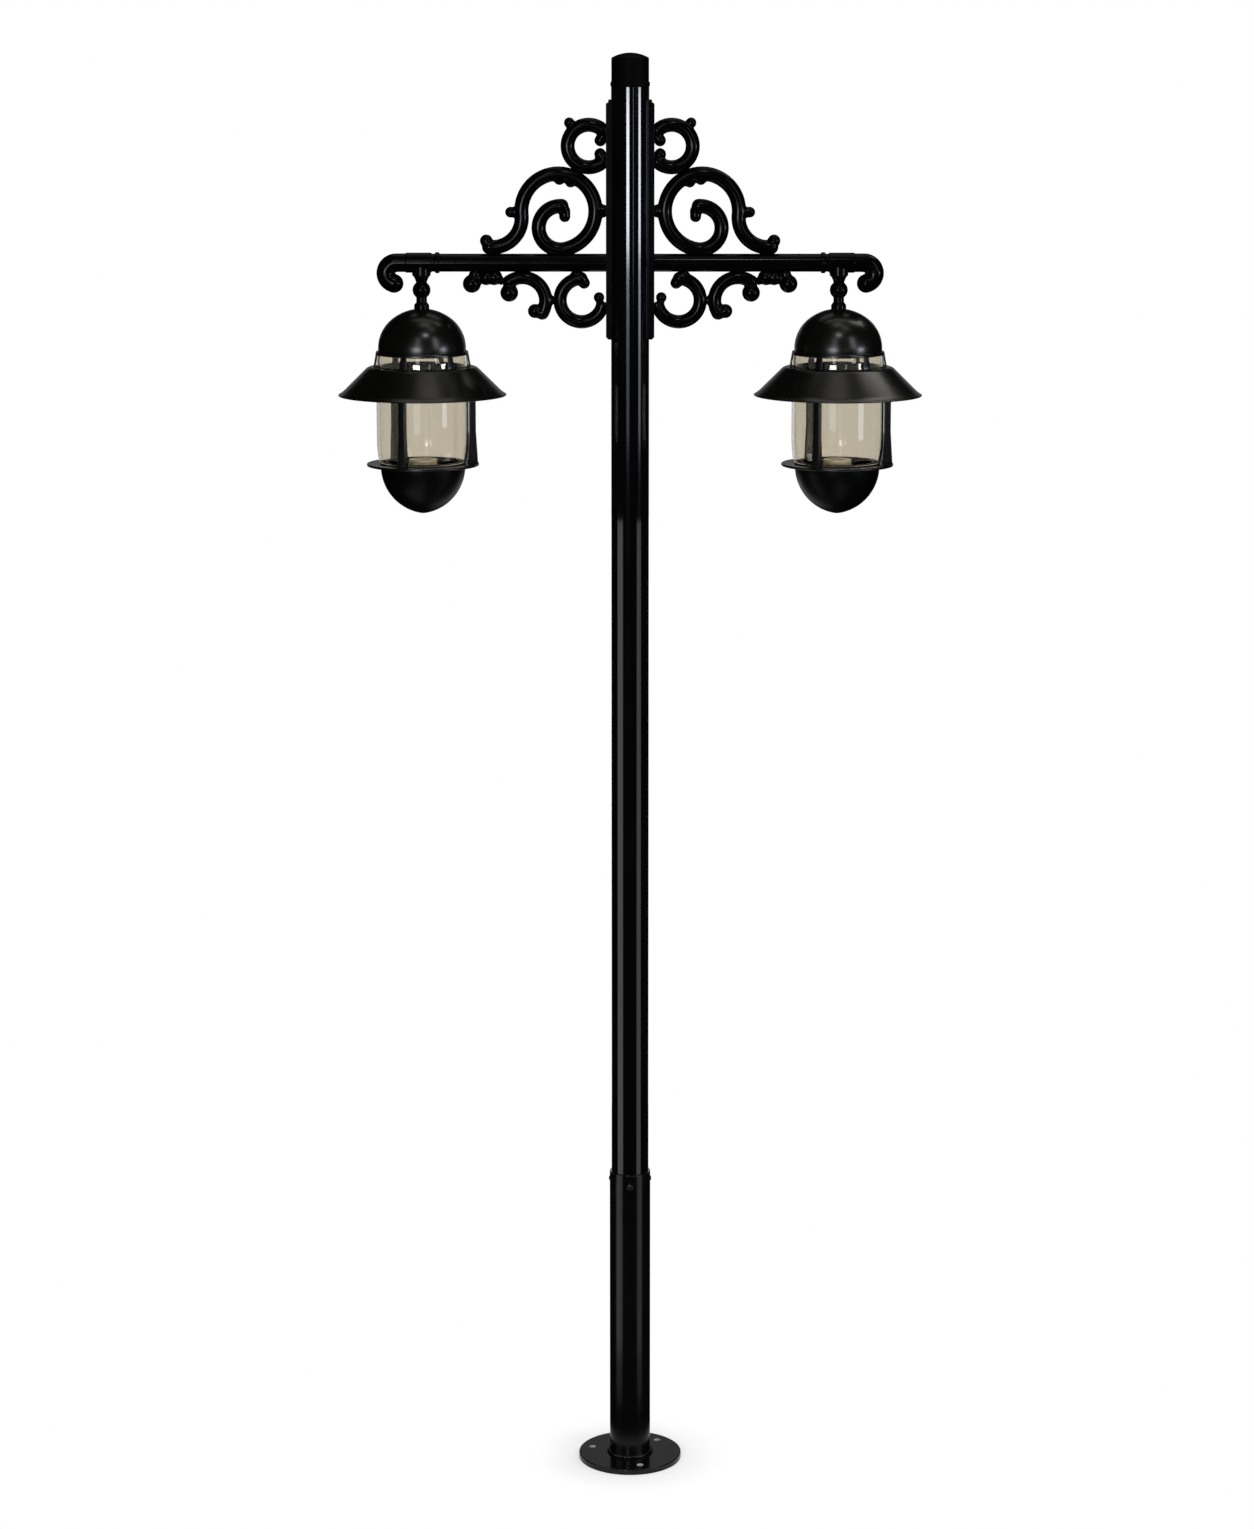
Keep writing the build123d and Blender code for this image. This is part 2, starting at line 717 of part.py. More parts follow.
def lampholder():
    taper_top = holder_top - holder_rim_height
    taper_foot = taper_top - holder_taper_height
    pocket = shell_radius + shell_gap
    contact_pocket = contact_radius + shell_gap
    return spun(Polyline(
        (0, holder_foot),
        (holder_body_radius, holder_foot),
        (holder_body_radius, taper_foot),
        (holder_rim_radius, taper_top),
        (holder_rim_radius, holder_top),
        (pocket, holder_top),
        (pocket, shell_floor),
        (contact_pocket, shell_floor),
        (contact_pocket, contact_foot),
        (0, contact_foot),
        close=True))


def screw_shell():
    return ring(shell_radius, socket_bore / 2, shell_floor, shell_floor + socket_shell_height)


def centre_contact():
    return pillar(contact_radius, 0, contact_foot, shell_floor)


def holder_post():
    return pillar(holder_post_radius, 0, bowl_bottom + bowl_wall, holder_foot) - bowl()


os.makedirs("parts", exist_ok=True)

save("base_flange", base_flange())
save("base_sleeve", base_sleeve())
save("pole_seat_ring", pole_seat_ring())
save("clamp_screws", Compound(clamp_screws()))
save("pole_tube", pole_tube())
save("pole_cap", pole_cap())

screws = [saddle_screw(height, 0) for height in saddle_screw_heights]
save("saddle_screws", Compound([handed(screw, side) for side in sides for screw in screws]))

bracket = {
    "saddle_bar": saddle_bar(),
    "arm_tube": arm_tube(),
    "arm_collar": arm_collar(),
    "tee_fitting": tee_fitting(),
    "end_scroll": end_scroll(),
    "drop_stem": drop_stem(),
    "stem_nut": stem_nut(),
    "upper_c_scroll": upper_c_scroll(),
    "s_scroll": s_scroll(),
    "lower_c_scroll": lower_c_scroll(),
    "lower_s_scroll": lower_s_scroll(),
    "leaf_scroll": leaf_scroll(),
}
lantern = {
    "dome": dome(),
    "vent_band": vent_band(),
    "brim": brim(),
    "cage_posts": Compound(cage_posts()),
    "glass": glass(),
    "glass_gaskets": Compound(glass_gaskets()),
    "flange_ring": flange_ring(),
    "bowl": bowl(),
    "bowl_seal": bowl_seal(),
    "lampholder": lampholder(),
    "screw_shell": screw_shell(),
    "centre_contact": centre_contact(),
    "holder_post": holder_post(),
}
for side, sign in sides.items():
    for name, piece in bracket.items():
        save(f"{side}_{name}", handed(piece, side))
    hung = Pos(sign * lantern_reach, 0, 0) * Rot(0, 0, lantern_turns[side])
    for name, piece in lantern.items():
        save(f"{side}_{name}", hung * piece)
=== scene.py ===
import json
import math
import bpy
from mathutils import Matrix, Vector


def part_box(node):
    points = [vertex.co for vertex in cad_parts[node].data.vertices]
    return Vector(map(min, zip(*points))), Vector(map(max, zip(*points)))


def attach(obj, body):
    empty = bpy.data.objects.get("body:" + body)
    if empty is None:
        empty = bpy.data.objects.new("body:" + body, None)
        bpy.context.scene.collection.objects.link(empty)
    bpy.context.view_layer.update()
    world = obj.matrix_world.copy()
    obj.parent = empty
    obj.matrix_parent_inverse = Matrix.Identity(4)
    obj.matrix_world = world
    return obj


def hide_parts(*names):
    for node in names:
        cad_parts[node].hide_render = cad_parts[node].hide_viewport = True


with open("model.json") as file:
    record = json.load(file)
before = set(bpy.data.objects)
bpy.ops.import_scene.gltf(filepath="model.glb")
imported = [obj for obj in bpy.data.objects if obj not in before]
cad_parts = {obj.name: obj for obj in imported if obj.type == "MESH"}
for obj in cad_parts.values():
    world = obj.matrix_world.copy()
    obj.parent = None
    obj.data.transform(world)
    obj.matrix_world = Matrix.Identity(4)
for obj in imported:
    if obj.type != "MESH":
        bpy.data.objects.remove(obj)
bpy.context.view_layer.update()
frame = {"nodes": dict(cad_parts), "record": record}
nodes = frame["nodes"]
slotOf = {part["node"]: part["material_slot"] for part in frame["record"]["subparts"]}
sides = ("left", "right")
scene = bpy.context.scene
scene.view_settings.view_transform = "Standard"
mm = 0.001
print("frame loaded,", len(nodes), "nodes")


# Small helpers

# a Mix node's sockets share their names, so they go by number
colourA, colourB, colourOut = 6, 7, 2
numberA, numberB, numberOut = 2, 3, 0
# points nearer than this, in millimetres, become one
mergeGaps = {"line": 0.001, "spin": 0.005, "copy": 0.01, "thread": 0.01}


def linear(hexColour):
    # sRGB hex to the linear colour that sockets take
    channels = [int(hexColour[i:i + 2], 16) / 255 for i in (1, 3, 5)]
    return [c / 12.92 if c <= 0.04045 else ((c + 0.055) / 1.055) ** 2.4 for c in channels] + [1.0]


def addNode(tree, kind, settings=None, links=None):
    node = tree.nodes.new(kind)
    for name, value in (settings or {}).items():
        if isinstance(name, int) or name in node.inputs:
            node.inputs[name].default_value = value
        else:
            setattr(node, name, value)
    for name, source in (links or {}).items():
        tree.links.new(source, node.inputs[name])
    return node


def newMaterial(name):
    material = bpy.data.materials.new(name)
    material.use_nodes = True
    tree = material.node_tree
    tree.nodes.clear()
    output = addNode(tree, "ShaderNodeOutputMaterial")
    place = addNode(tree, "ShaderNodeTexCoord").outputs["Object"]
    return material, tree, output, place


def perMetre(sizeMm):
    return 1 / (sizeMm * mm)  # texture scale for a pattern of that size


# Finishes

# what every black coat shares: the detail of its patterns, its IOR, and where an edge begins to wear
coatFilm = {"cloudDetail": 4, "skinDetail": 2, "waveDetail": 1, "ior": 1.5,
            "edgeSamples": 4, "edgeFrom": 0.98, "edgeTo": 0.80}


def edgeMask(tree, radiusMm, breakUp):
    # rounded normal against the flat one: where they part there is an edge
    bevel = addNode(tree, "ShaderNodeBevel", {"samples": coatFilm["edgeSamples"], "Radius": radiusMm * mm})
    rounded = bevel.outputs["Normal"]
    flat = addNode(tree, "ShaderNodeNewGeometry").outputs["Normal"]
    alike = addNode(tree, "ShaderNodeVectorMath", {"operation": "DOT_PRODUCT"}, {0: rounded, 1: flat})
    edge = addNode(tree, "ShaderNodeMapRange",
                   {"From Min": coatFilm["edgeFrom"], "From Max": coatFilm["edgeTo"]},
                   {"Value": alike.outputs["Value"]})
    worn = addNode(tree, "ShaderNodeMath", {"operation": "MULTIPLY"},
                   {0: edge.outputs["Result"], 1: breakUp})
    return rounded, worn.outputs["Value"]


def paintedHoleGlints(tree, place, look):
    # a pale ring painted round each bolt hole: painted highlights that stand in for the glints on the hole
    # rims
    flat = addNode(tree, "ShaderNodeVectorMath", {"operation": "MULTIPLY", 1: (1, 1, 0)}, {0: place})
    nearest = None
    for i in range(look["count"]):
        angle = math.radians(look["firstAngle"] + i * 360 / look["count"])
        centre = Vector((math.cos(angle), math.sin(angle), 0)) * look["circleMm"] / 2 * mm
        away = addNode(tree, "ShaderNodeVectorMath", {"operation": "DISTANCE", 1: centre},
                       {0: flat.outputs["Vector"]}).outputs["Value"]
        if nearest:
            away = addNode(tree, "ShaderNodeMath", {"operation": "MINIMUM"},
                           {0: nearest, 1: away}).outputs["Value"]
        nearest = away
    ring = addNode(tree, "ShaderNodeMapRange",
                   {"From Min": (look["holeMm"] + look["ringMm"]) * mm, "From Max": look["holeMm"] * mm},
                   {"Value": nearest})
    return ring.outputs["Result"]


def blackCoat(name, look):
    # a black film: cloudy tone, uneven gloss, a skin texture, and thinner or rubbed along the edges
    material, tree, output, place = newMaterial(name)
    cloud = addNode(tree, "ShaderNodeTexNoise",
                    {"Scale": perMetre(look["cloudMm"]), "Detail": coatFilm["cloudDetail"]},
                    {"Vector": place})
    skin = addNode(tree, "ShaderNodeTexNoise",
                   {"Scale": perMetre(look["skinMm"]), "Detail": coatFilm["skinDetail"]},
                   {"Vector": place})
    smear = addNode(tree, "ShaderNodeMapping", {"Scale": (1, 1, look["smear"])}, {"Vector": place})
    wave = addNode(tree, "ShaderNodeTexNoise",
                   {"Scale": perMetre(look["waveMm"]), "Detail": coatFilm["waveDetail"]},
                   {"Vector": smear.outputs["Vector"]})
    tone = addNode(tree, "ShaderNodeMix",
                   {"data_type": "RGBA", colourA: linear(look["deep"]), colourB: linear(look["pale"])},
                   {"Factor": cloud.outputs["Fac"]})
    rounded, worn = edgeMask(tree, look["edgeMm"], cloud.outputs["Fac"])
    colour = addNode(tree, "ShaderNodeMix", {"data_type": "RGBA", colourB: linear(look["worn"])},
                     {"Factor": worn, colourA: tone.outputs[colourOut]})
    gloss = addNode(tree, "ShaderNodeMapRange", {"To Min": look["gloss"][0], "To Max": look["gloss"][1]},
                    {"Value": cloud.outputs["Fac"]})
    wavy = addNode(tree, "ShaderNodeBump", {"Strength": look["waveDepth"], "Distance": mm},
                   {"Height": wave.outputs["Fac"], "Normal": rounded})
    grain = addNode(tree, "ShaderNodeBump", {"Strength": look["skinDepth"], "Distance": mm},
                    {"Height": skin.outputs["Fac"], "Normal": wavy.outputs["Normal"]})
    shown = colour.outputs[colourOut]
    # pale rings round the bolt holes: painted highlights for the glints on their rims
    if "holes" in look:
        glintPaint = addNode(tree, "ShaderNodeMix", {"data_type": "RGBA", colourB: linear(look["glintPaint"])},
                       {"Factor": paintedHoleGlints(tree, place, look["holes"]), colourA: shown})
        shown = glintPaint.outputs[colourOut]
    shader = addNode(tree, "ShaderNodeBsdfPrincipled",
                     {"IOR": coatFilm["ior"], "Specular IOR Level": look["shine"]},
                     {"Base Color": shown, "Roughness": gloss.outputs["Result"],
                      "Normal": grain.outputs["Normal"]})
    tree.links.new(shader.outputs["BSDF"], output.inputs["Surface"])
    return material


# Stoved enamel, sprayed on drawn tube: a mirror-like black whose reflections waver slightly
poleEnamel = {"deep": "#020203", "pale": "#060607", "worn": "#141417", "gloss": (0.05, 0.11), "cloudMm": 90,
              "skinMm": 6, "skinDepth": 0.001, "waveMm": 40, "waveDepth": 0.012, "smear": 0.3, "edgeMm": 0.3,
              "shine": 0.5}
# The same enamel on sand-cast aluminium: the mould's grain softens the gloss
bracketEnamel = {"deep": "#010101", "pale": "#050506", "worn": "#101012", "gloss": (0.11, 0.18),
                 "cloudMm": 50, "skinMm": 5, "skinDepth": 0.003, "waveMm": 16, "waveDepth": 0.015,
                 "smear": 1.0, "edgeMm": 1.0, "shine": 0.085}
# Baked powder coat on spun aluminium: satin, slightly warm, with a fine even orange peel
lanternCoat = {"deep": "#040403", "pale": "#0A0A08", "worn": "#20201E", "gloss": (0.20, 0.32), "cloudMm": 70,
               "skinMm": 4, "skinDepth": 0.008, "waveMm": 25, "waveDepth": 0.02, "smear": 1.0, "edgeMm": 0.8,
               "shine": 0.5}
# The bowl's coat is sprayed matt, so that it doesn't glint below the glass, and its tone is darker than the
# lantern coat as painted shade
shadedBowlCoat = {**lanternCoat, "deep": "#020202", "pale": "#050505", "gloss": (0.34, 0.46), "shine": 0.08}
# Thicker powder coat on welded steel plate and tube: satin, scuffed pale on its rims
baseCoat = {"deep": "#030303", "pale": "#090909", "worn": "#2C2C2C", "gloss": (0.12, 0.24), "cloudMm": 60,
            "skinMm": 5, "skinDepth": 0.008, "waveMm": 30, "waveDepth": 0.02, "smear": 0.5, "edgeMm": 1.0,
            # the pale colour below is painted round the bolt holes as painted highlights
            "shine": 0.28, "glintPaint": "#B4B4B0",
            "holes": {"count": 3, "firstAngle": 45, "circleMm": 136, "holeMm": 5.5, "ringMm": 0.5}}
# Moulded polyethylene: matt black with a pebbled mould grain
capPlastic = {"deep": "#020202", "pale": "#060606", "worn": "#0E0E0E", "gloss": (0.45, 0.60), "cloudMm": 40,
              "skinMm": 3, "skinDepth": 0.03, "waveMm": 12, "waveDepth": 0.03, "smear": 1.0, "edgeMm": 1.2,
              "shine": 0.03}
# Blackened steel: a dark oxide, rubbed brighter on the corners that a spanner meets
screwSteel = {"deep": "#0A0A0B", "pale": "#161618", "worn": "#5A5A5C", "gloss": (0.25, 0.40), "cloudMm": 6,
              "skinMm": 2, "skinDepth": 0.02, "waveMm": 8, "waveDepth": 0.02, "smear": 1.0, "edgeMm": 0.6,
              "shine": 0.5}
# EPDM rubber: dull black with a faint bloom
sealRubber = {"deep": "#0C0C0C", "pale": "#171716", "worn": "#222221", "gloss": (0.65, 0.80), "cloudMm": 12,
              "skinMm": 2, "skinDepth": 0.04, "waveMm": 6, "waveDepth": 0.03, "smear": 1.0, "edgeMm": 0.4,
              "shine": 0.3}


def bareMetal(name, look):
    # polished or plated metal: tone drifts in patches and the gloss is drawn out along the surface
    material, tree, output, place = newMaterial(name)
    patch = addNode(tree, "ShaderNodeTexVoronoi", {"Scale": perMetre(look["patchMm"])},
                    {"Vector": place})
    streak = addNode(tree, "ShaderNodeMapping", {"Scale": (1, 1, look["draw"])}, {"Vector": place})
    line = addNode(tree, "ShaderNodeTexNoise",
                   {"Scale": perMetre(look["lineMm"]), "Detail": look["lineDetail"]},
                   {"Vector": streak.outputs["Vector"]})
    colour = addNode(tree, "ShaderNodeMix",
                     {"data_type": "RGBA", colourA: linear(look["deep"]), colourB: linear(look["pale"])},
                     {"Factor": patch.outputs["Distance"]})
    gloss = addNode(tree, "ShaderNodeMapRange", {"To Min": look["gloss"][0], "To Max": look["gloss"][1]},
                    {"Value": line.outputs["Fac"]})
    bump = addNode(tree, "ShaderNodeBump", {"Strength": look["lineDepth"], "Distance": mm},
                   {"Height": line.outputs["Fac"]})
    shader = addNode(tree, "ShaderNodeBsdfPrincipled", {"Metallic": 1.0},
                     {"Base Color": colour.outputs[colourOut], "Roughness": gloss.outputs["Result"],
                      "Normal": bump.outputs["Normal"]})
    tree.links.new(shader.outputs["BSDF"], output.inputs["Surface"])
    return material


# Zinc-plated steel: pale, with the plating's small crystals
zincSteel = {"deep": "#9A9DA0", "pale": "#C4C7C9", "gloss": (0.25, 0.42), "patchMm": 4,
             "lineMm": 3, "lineDetail": 3, "lineDepth": 0.05, "draw": 0.3}
# Pressed brass: rolled sheet, fairly bright, drawn into shape
pressedBrass = {"deep": "#A9853A", "pale": "#D6B566", "gloss": (0.18, 0.32), "patchMm": 9,
                "lineMm": 2, "lineDetail": 3, "lineDepth": 0.05, "draw": 0.2}

# Blown glass, smoked in the melt: a warm grey that deepens through two walls, with faint upright lines
smokedGlass = {"tint": "#CDC8BB", "thin": "#D5D0C5", "shade": "#DCD6CA", "gloss": 0.02, "ior": 1.5,
               "lineMm": 14, "lineDetail": 2, "lineDepth": 0.05, "draw": 0.06}


def glassFinish(name, look):
    material, tree, output, place = newMaterial(name)
    upright = addNode(tree, "ShaderNodeMapping", {"Scale": (1, 1, look["draw"])}, {"Vector": place})
    drawn = addNode(tree, "ShaderNodeTexNoise",
                    {"Scale": perMetre(look["lineMm"]), "Detail": look["lineDetail"]},
                    {"Vector": upright.outputs["Vector"]})
    colour = addNode(tree, "ShaderNodeMix",
                     {"data_type": "RGBA", colourA: linear(look["tint"]), colourB: linear(look["thin"])},
                     {"Factor": drawn.outputs["Fac"]})
    bump = addNode(tree, "ShaderNodeBump", {"Strength": look["lineDepth"], "Distance": mm},
                   {"Height": drawn.outputs["Fac"]})
    shader = addNode(tree, "ShaderNodeBsdfPrincipled",
                     {"Transmission Weight": 1.0, "IOR": look["ior"], "Roughness": look["gloss"]},
                     {"Base Color": colour.outputs[colourOut], "Normal": bump.outputs["Normal"]})
    # lamps shine through the wall onto what stands inside
    clear = addNode(tree, "ShaderNodeBsdfTransparent", {"Color": linear(look["shade"])})
    path = addNode(tree, "ShaderNodeLightPath")
    mix = addNode(tree, "ShaderNodeMixShader", None,
                  {0: path.outputs["Is Shadow Ray"], 1: shader.outputs["BSDF"],
                   2: clear.outputs["BSDF"]})
    tree.links.new(mix.outputs["Shader"], output.inputs["Surface"])
    return material


# Steatite, pressed and dipped in a clear glaze: cream, mottled, bright glints on the rims
creamGlaze = {"deep": "#D9CDB2", "pale": "#EFE6D2", "speck": "#B9A888", "gloss": (0.08, 0.18), "ior": 1.55,
              "mottleMm": 14, "mottleDetail": 4, "speckMm": 1.6, "speckFrom": 0.68, "speckTo": 0.76,
              "skinDepth": 0.05}


def porcelainFinish(name, look):
    material, tree, output, place = newMaterial(name)
    mottle = addNode(tree, "ShaderNodeTexNoise",
                     {"Scale": perMetre(look["mottleMm"]), "Detail": look["mottleDetail"]}, {"Vector": place})
    specks = addNode(tree, "ShaderNodeTexNoise", {"Scale": perMetre(look["speckMm"])}, {"Vector": place})
    few = addNode(tree, "ShaderNodeMapRange", {"From Min": look["speckFrom"], "From Max": look["speckTo"]},
                  {"Value": specks.outputs["Fac"]})
    body = addNode(tree, "ShaderNodeMix",
                   {"data_type": "RGBA", colourA: linear(look["deep"]), colourB: linear(look["pale"])},
                   {"Factor": mottle.outputs["Fac"]})
    colour = addNode(tree, "ShaderNodeMix", {"data_type": "RGBA", colourB: linear(look["speck"])},
                     {"Factor": few.outputs["Result"], colourA: body.outputs[colourOut]})
    gloss = addNode(tree, "ShaderNodeMapRange", {"To Min": look["gloss"][0], "To Max": look["gloss"][1]},
                    {"Value": mottle.outputs["Fac"]})
    bump = addNode(tree, "ShaderNodeBump", {"Strength": look["skinDepth"], "Distance": mm},
                   {"Height": mottle.outputs["Fac"]})
    shader = addNode(tree, "ShaderNodeBsdfPrincipled", {"IOR": look["ior"]},
                     {"Base Color": colour.outputs[colourOut], "Roughness": gloss.outputs["Result"],
                      "Normal": bump.outputs["Normal"]})
    tree.links.new(shader.outputs["BSDF"], output.inputs["Surface"])
    return material


finishes = {
    "pole_enamel": blackCoat("stovedEnamel", poleEnamel),
    "bracket_enamel": blackCoat("enamelOnCasting", bracketEnamel),
    "lantern_coat": blackCoat("satinPowderCoat", lanternCoat),
    "base_coat": blackCoat("basePowderCoat", baseCoat),
    "cap_plastic": blackCoat("mouldedPolyethylene", capPlastic),
    "screw_steel": blackCoat("blackenedSteel", screwSteel),
    "seal_rubber": blackCoat("sealRubber", sealRubber),
    "zinc_steel": bareMetal("zincPlatedSteel", zincSteel),
    "brass": bareMetal("pressedBrass", pressedBrass),
    "smoked_glass": glassFinish("smokedGlass", smokedGlass),
    "porcelain": porcelainFinish("glazedSteatite", creamGlaze),
}
# the bowls get the darker, duller coat: its darker tone is painted shade
shadedMattBowl = blackCoat("shadedMattPowderCoat", shadedBowlCoat)
for name, node in nodes.items():
    node.data.materials.clear()
    node.data.materials.append(shadedMattBowl if name.endswith("_bowl") else finishes[slotOf[name]])
print("finishes set on", len(nodes), "nodes")


# Modelling helpers

def selectOnly(piece):
    bpy.ops.object.select_all(action="DESELECT")
    piece.select_set(True)
    bpy.context.view_layer.objects.active = piece


def cleanMesh(piece, mergeMm):
    # one skin, facing outwards
    selectOnly(piece)
    bpy.ops.object.mode_set(mode="EDIT")
    bpy.ops.mesh.select_all(action="SELECT")
    bpy.ops.mesh.remove_doubles(threshold=mergeMm * mm)
    bpy.ops.mesh.normals_make_consistent(inside=False)
    bpy.ops.object.mode_set(mode="OBJECT")


def addModifier(piece, kind, **settings):
    selectOnly(piece)
    modifier = piece.modifiers.new(kind.lower(), kind)
    for name, value in settings.items():
        setattr(modifier, name, value)
    bpy.ops.object.modifier_apply(modifier=modifier.name)


def dress(piece, body, slot, *replaced):
    piece.data.materials.clear()
    piece.data.materials.append(finishes[slot])
    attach(piece, body)
    if replaced:
        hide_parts(*replaced)


def copyOfNode(nodeName, pieceName):
    selectOnly(nodes[nodeName])
    bpy.ops.object.duplicate()
    piece = bpy.context.object
    piece.name = pieceName
    cleanMesh(piece, mergeGaps["copy"])
    return piece


def drawLine(name, points):
    # edges from point to point in the XZ plane, left in edit mode with all of it selected
    bpy.ops.object.select_all(action="DESELECT")
    bpy.ops.mesh.primitive_plane_add(size=mm, location=(0, 0, 0))
    piece = bpy.context.object
    piece.name = name
    bpy.ops.object.mode_set(mode="EDIT")
    bpy.ops.mesh.select_all(action="SELECT")
    bpy.ops.mesh.merge(type="CENTER")
    steps = [Vector((x, 0, z)) * mm for x, z in points]
    bpy.ops.transform.translate(value=steps[0])
    for here, there in zip(steps, steps[1:]):
        bpy.ops.mesh.extrude_region_move(TRANSFORM_OT_translate={"value": there - here})
    bpy.ops.mesh.select_all(action="SELECT")
    bpy.ops.mesh.remove_doubles(threshold=mergeGaps["line"] * mm)
    return piece


def spinLine(piece, axisX, steps, smoothDegrees):
    # turns the drawn line once about the upright axis at axisX
    bpy.ops.mesh.select_all(action="SELECT")
    bpy.ops.mesh.spin(steps=steps, angle=2 * math.pi, center=(axisX, 0, 0), axis=(0, 0, 1))
    bpy.ops.object.mode_set(mode="OBJECT")
    cleanMesh(piece, mergeGaps["spin"])
    bpy.ops.object.shade_smooth_by_angle(angle=math.radians(smoothDegrees))


def quarterTurn(fromPoint, toPoint, steps, levelFirst):
    # points of an eased quarter bend between two points
    (x0, z0), (x1, z1) = fromPoint, toPoint
    turns = [math.pi / 2 * i / steps for i in range(steps + 1)]
    if levelFirst:
        return [(x0 + (x1 - x0) * math.sin(t), z0 + (z1 - z0) * (1 - math.cos(t))) for t in turns]
    return [(x0 + (x1 - x0) * (1 - math.cos(t)), z0 + (z1 - z0) * math.sin(t)) for t in turns]


# Scrolls: each is one sand casting, so its knobs and bars flow into each other
scrollCasting = {"voxelMm": 1.5, "smoothRounds": 14, "smoothShare": 0.5, "swellMm": 0.6,
                 "names": ("s_scroll", "upper_c_scroll", "lower_c_scroll", "lower_s_scroll", "leaf_scroll",
                           "end_scroll")}


def castScroll(nodeName, look):
    piece = copyOfNode(nodeName, nodeName + "Casting")
    addModifier(piece, "REMESH", mode="VOXEL", voxel_size=look["voxelMm"] * mm)
    addModifier(piece, "SMOOTH", factor=look["smoothShare"], iterations=look["smoothRounds"])
    # smoothing shrinks the bars; this takes them back to size and about 0.4 mm a side fuller
    addModifier(piece, "DISPLACE", strength=look["swellMm"] * mm, mid_level=0)
    bpy.ops.object.shade_smooth()
    dress(piece, "column", "bracket_enamel", nodeName)


for side in sides:
    for name in scrollCasting["names"]:
        castScroll(f"{side}_{name}", scrollCasting)
print("scroll castings made")

# Glass: a blown cylinder drawn in gently at both ends, its rims melted round
glassPiece = {"wallMm": 4.0, "footMm": 71.5, "topMm": 74.0, "neckMm": 44.0, "bendSteps": 12,
              "turnSteps": 128, "rimMm": 1.2, "rimSteps": 3, "cornerAngle": 50}


def blowGlass(side, look):
    low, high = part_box(side + "_glass")
    axisX = (low[0] + high[0]) / 2
    centre = axisX / mm
    radius = (high[0] - low[0]) / 2 / mm
    foot, top = low[2] / mm, high[2] / mm
    lower = quarterTurn((centre + look["footMm"], foot), (centre + radius, foot + look["neckMm"]),
                        look["bendSteps"], True)
    upper = quarterTurn((centre + radius, top - look["neckMm"]), (centre + look["topMm"], top),
                        look["bendSteps"], False)
    outer = lower + upper
    inner = [(x - look["wallMm"], z) for x, z in reversed(outer)]
    piece = drawLine(side + "BlownGlass", outer + inner + outer[:1])
    spinLine(piece, axisX, look["turnSteps"], look["cornerAngle"])
    addModifier(piece, "BEVEL", width=look["rimMm"] * mm, segments=look["rimSteps"], limit_method="ANGLE",
                angle_limit=math.radians(look["cornerAngle"]))
    bpy.ops.object.shade_smooth()
    dress(piece, side + "_lantern_head", "smoked_glass", side + "_glass")


for side in sides:
    blowGlass(side, glassPiece)
print("glasses blown")

# Brim: spun sheet with soft bends and a turned edge
brimPiece = {"sheetMm": 2.0, "flatMm": 90.6, "coneMm": 134.0, "coneDropMm": 43.0, "holeMm": 78.2,
             "bendMm": 5.0, "bendSteps": 5, "bendAngle": 60, "edgeMm": 0.9, "edgeSteps": 3, "edgeAngle": 50,
             "turnSteps": 160}


def spinBrim(side, look):
    low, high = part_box(side + "_brim")
    axisX = (low[0] + high[0]) / 2
    centre = axisX / mm
    edge = (high[0] - low[0]) / 2 / mm
    top, foot = high[2] / mm, low[2] / mm + look["sheetMm"]
    piece = drawLine(side + "SpunBrim", [
        (centre + look["holeMm"], top),
        (centre + look["flatMm"], top),
        (centre + look["coneMm"], top - look["coneDropMm"]),
        (centre + edge, foot)])
    bpy.ops.mesh.bevel(offset=look["bendMm"] * mm, segments=look["bendSteps"], affect="VERTICES")
    spinLine(piece, axisX, look["turnSteps"], look["bendAngle"])
    addModifier(piece, "SOLIDIFY", thickness=look["sheetMm"] * mm, offset=-1)
    addModifier(piece, "BEVEL", width=look["edgeMm"] * mm, segments=look["edgeSteps"], limit_method="ANGLE",
                angle_limit=math.radians(look["edgeAngle"]))
    bpy.ops.object.shade_smooth_by_angle(angle=math.radians(look["edgeAngle"]))
    dress(piece, side + "_lantern_head", "lantern_coat", side + "_brim")


for side in sides:
    spinBrim(side, brimPiece)
print("brims spun")

# Posts, bands and screws whose sharp corners are dressed round
softenAngles = {"round": 40, "smooth": 35}
softened = {"cage_posts": {"roundMm": 3.4, "steps": 5, "body": "lantern_head"},
            "vent_band": {"roundMm": 0.6, "steps": 2, "body": "lantern_head"}}
softenedScrews = {"roundMm": 0.6, "steps": 2}


def softenEdges(nodeName, body, look):
    piece = copyOfNode(nodeName, nodeName + "Dressed")
    addModifier(piece, "BEVEL", width=look["roundMm"] * mm, segments=look["steps"], limit_method="ANGLE",
                angle_limit=math.radians(softenAngles["round"]), use_clamp_overlap=True)
    bpy.ops.object.shade_smooth_by_angle(angle=math.radians(softenAngles["smooth"]))
    dress(piece, body, slotOf[nodeName], nodeName)


for side in sides:
    for name, look in softened.items():
        softenEdges(f"{side}_{name}", f"{side}_{look['body']}", look)
softenEdges("clamp_screws", "base", softenedScrews)
print("corners dressed")

# Lampholder: pressed steatite, its edges rounded by the glaze
holderPiece = {"rimMm": 24.0, "bodyMm": 21.0, "rimHeightMm": 12.0, "taperMm": 6.0, "pocketMm": 14.6,
               "pocketDeepMm": 31.0, "contactMm": 5.1, "contactDeepMm": 35.0, "roundMm": 1.6,
               "roundSteps": 5, "turnSteps": 96, "cornerAngle": 50}


